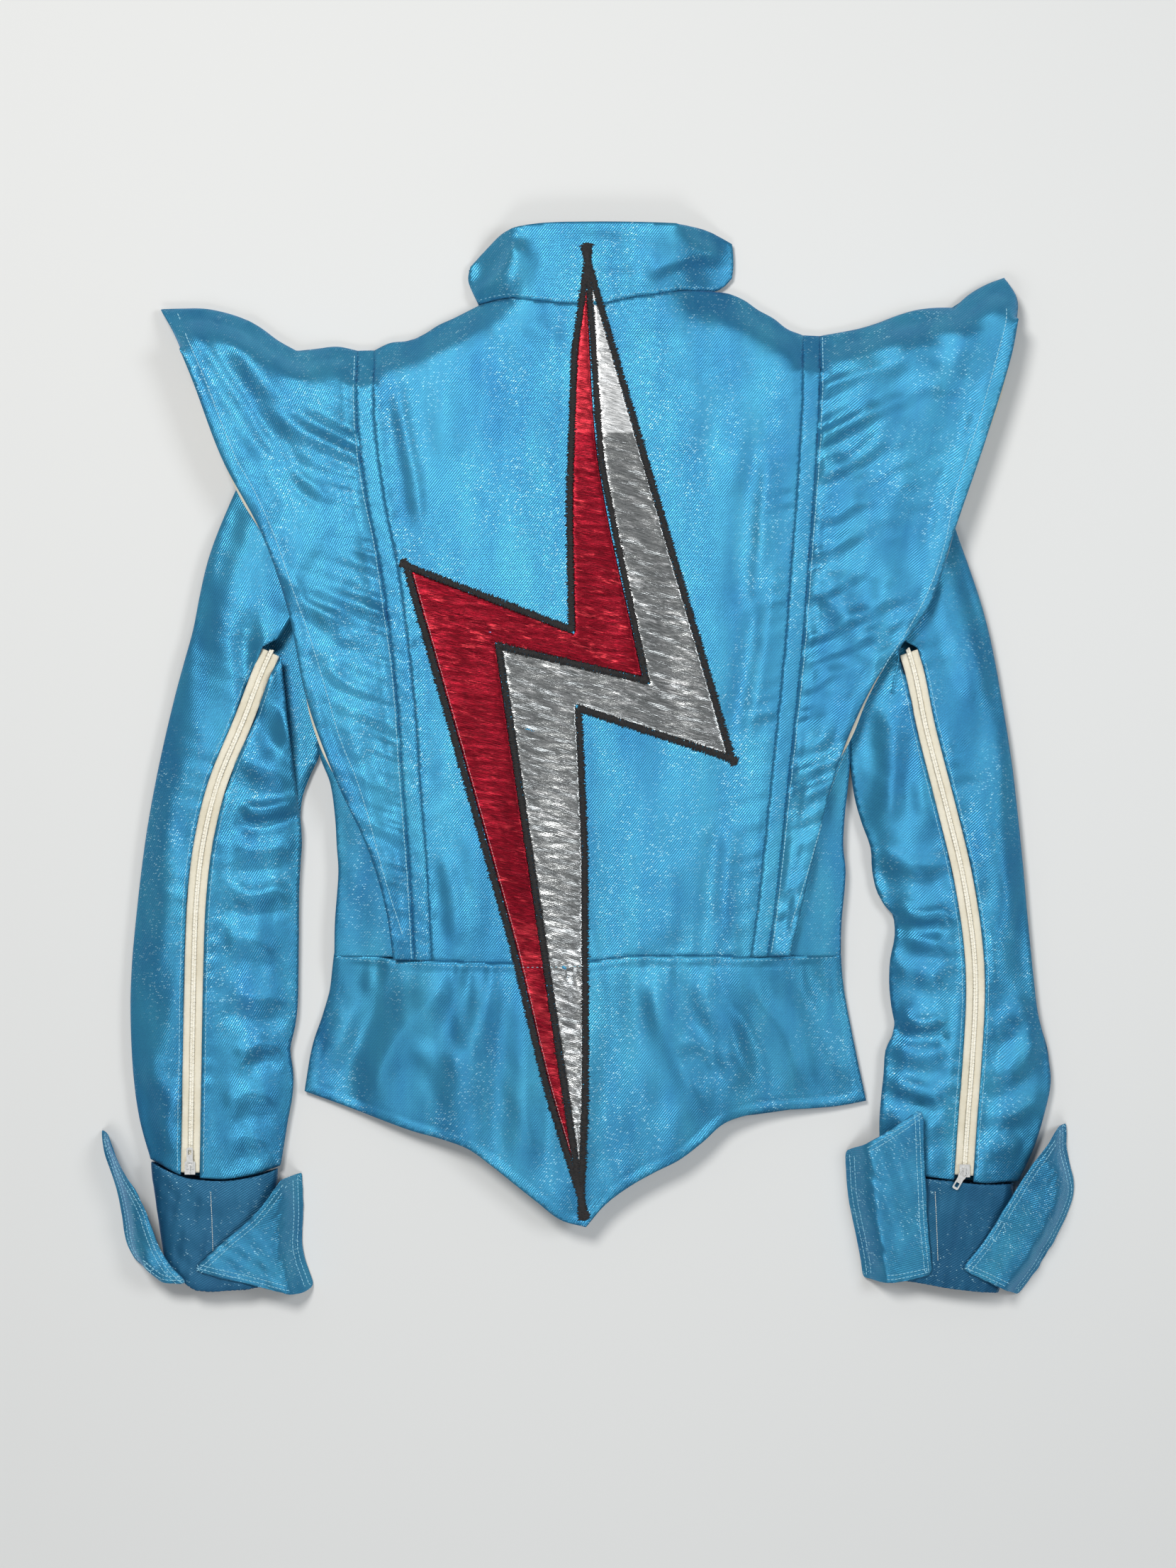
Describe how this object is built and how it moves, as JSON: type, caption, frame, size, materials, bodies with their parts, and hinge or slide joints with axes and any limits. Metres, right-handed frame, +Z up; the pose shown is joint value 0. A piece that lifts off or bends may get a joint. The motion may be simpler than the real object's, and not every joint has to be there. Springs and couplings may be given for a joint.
{
  "type": "superhero costume jacket",
  "caption": "Zip-up costume jacket lying on its front: stand collar, winged shoulders, short peplum, zipped sleeves with winged cuffs and a bolt applied on the back.",
  "frame": {"origin": "middle of the footprint's bounding box, on the floor it lies on", "axes": "+X across the shoulders, +Y from the tail towards the collar, +Z up out of the jacket's back"},
  "size_m": [0.7126, 0.782, 0.0329],
  "materials": {
    "blue_lame": "metallic twill with a fine glittering weft, satin",
    "deep_blue_lame": "the same twill in shadow, doubled, satin",
    "lining": "plain matte lining",
    "cream_cloth": "cream cotton, matte",
    "zip_coil": "woven-in nylon coil, matte",
    "nickel": "bright nickel",
    "red_lame": "red foil cloth, streaked, satin",
    "silver_lame": "silver foil cloth, streaked, glossy",
    "black_stitching": "dense black satin stitch"
  },
  "bodies": {
    "jacket": {"back_centre_panel": "blue_lame", "back_peplum": "blue_lame", "collar_outer": "blue_lame", "back_side_panel_left": "blue_lame", "back_side_panel_right": "blue_lame", "seam_band_left": "blue_lame", "seam_band_right": "blue_lame", "wing_back_left": "blue_lame", "wing_back_right": "blue_lame", "wing_front_left": "blue_lame", "wing_front_right": "blue_lame", "front_panel_left": "blue_lame", "front_panel_right": "blue_lame", "front_side_panel_left": "blue_lame", "front_side_panel_right": "blue_lame", "front_peplum_left": "blue_lame", "front_peplum_right": "blue_lame", "collar_front_left": "blue_lame", "collar_front_right": "blue_lame", "sleeve_outer_panel_left": "blue_lame", "sleeve_outer_panel_right": "blue_lame", "sleeve_inner_panel_left": "blue_lame", "sleeve_inner_panel_right": "blue_lame", "sleeve_under_panel_left": "blue_lame", "sleeve_under_panel_right": "blue_lame", "cuff_band_left": "deep_blue_lame", "cuff_band_right": "deep_blue_lame", "back_lining": "lining", "collar_facing": "lining", "front_lining_left": "lining", "front_lining_right": "lining", "wing_stiffener_left": "cream_cloth", "wing_stiffener_right": "cream_cloth", "zip_tape_outer_left": "cream_cloth", "zip_tape_outer_right": "cream_cloth", "zip_tape_inner_left": "cream_cloth", "zip_tape_inner_right": "cream_cloth", "front_zip_tape_left": "cream_cloth", "front_zip_tape_right": "cream_cloth", "zip_chain_left": "zip_coil", "zip_chain_right": "zip_coil", "front_zip_chain": "zip_coil", "bolt_red": "red_lame", "bolt_silver": "silver_lame", "bolt_outline": "black_stitching"},
    "slider_left": {"zip_slider_left": "nickel"},
    "pull_left": {"zip_pull_left": "nickel"},
    "slider_right": {"zip_slider_right": "nickel"},
    "pull_right": {"zip_pull_right": "nickel"},
    "front_slider": {"front_zip_slider": "nickel", "front_zip_pull": "nickel"},
    "outer_wing_left": {"cuff_outer_wing_left": "blue_lame"},
    "inner_wing_left": {"cuff_inner_wing_left": "blue_lame"},
    "outer_wing_right": {"cuff_outer_wing_right": "blue_lame"},
    "inner_wing_right": {"cuff_inner_wing_right": "blue_lame"}
  },
  "joints": [
    {"name": "zip_slide_left", "type": "slide", "parent": "jacket", "child": "slider_left", "axis": [0.0174, 0.9998, 0], "range_m": [0, 0.14]},
    {"name": "pull_hinge_left", "type": "hinge", "parent": "slider_left", "child": "pull_left", "pos_m": [-0.28918, -0.29541, 0.0236], "axis": [1, 0, 0], "range_deg": [0, 150]},
    {"name": "zip_slide_right", "type": "slide", "parent": "jacket", "child": "slider_right", "axis": [0.0721, 0.9974, 0], "range_m": [0, 0.08]},
    {"name": "pull_hinge_right", "type": "hinge", "parent": "slider_right", "child": "pull_right", "pos_m": [0.27306, -0.2974, 0.0236], "axis": [-0.866, 0.5, 0], "range_deg": [0, 150]},
    {"name": "front_zip_slide", "type": "slide", "parent": "jacket", "child": "front_slider", "axis": [0, -1, 0], "range_m": [0, 0.5]},
    {"name": "cuff_flap_outer_left", "type": "hinge", "parent": "jacket", "child": "outer_wing_left", "pos_m": [-0.29, -0.384, 0.0214], "axis": [0.9768, -0.214, 0], "range_deg": [0, 25]},
    {"name": "cuff_flap_inner_left", "type": "hinge", "parent": "jacket", "child": "inner_wing_left", "pos_m": [-0.2503, -0.3853, 0.0214], "axis": [0.9762, -0.217, 0], "range_deg": [0, 25]},
    {"name": "cuff_flap_outer_right", "type": "hinge", "parent": "jacket", "child": "outer_wing_right", "pos_m": [0.2917, -0.384, 0.0214], "axis": [0.8984, -0.4392, 0], "range_deg": [0, 25]},
    {"name": "cuff_flap_inner_right", "type": "hinge", "parent": "jacket", "child": "inner_wing_right", "pos_m": [0.2217, -0.384, 0.0214], "axis": [0.995, 0.1, 0], "range_deg": [0, 25]}
  ]
}
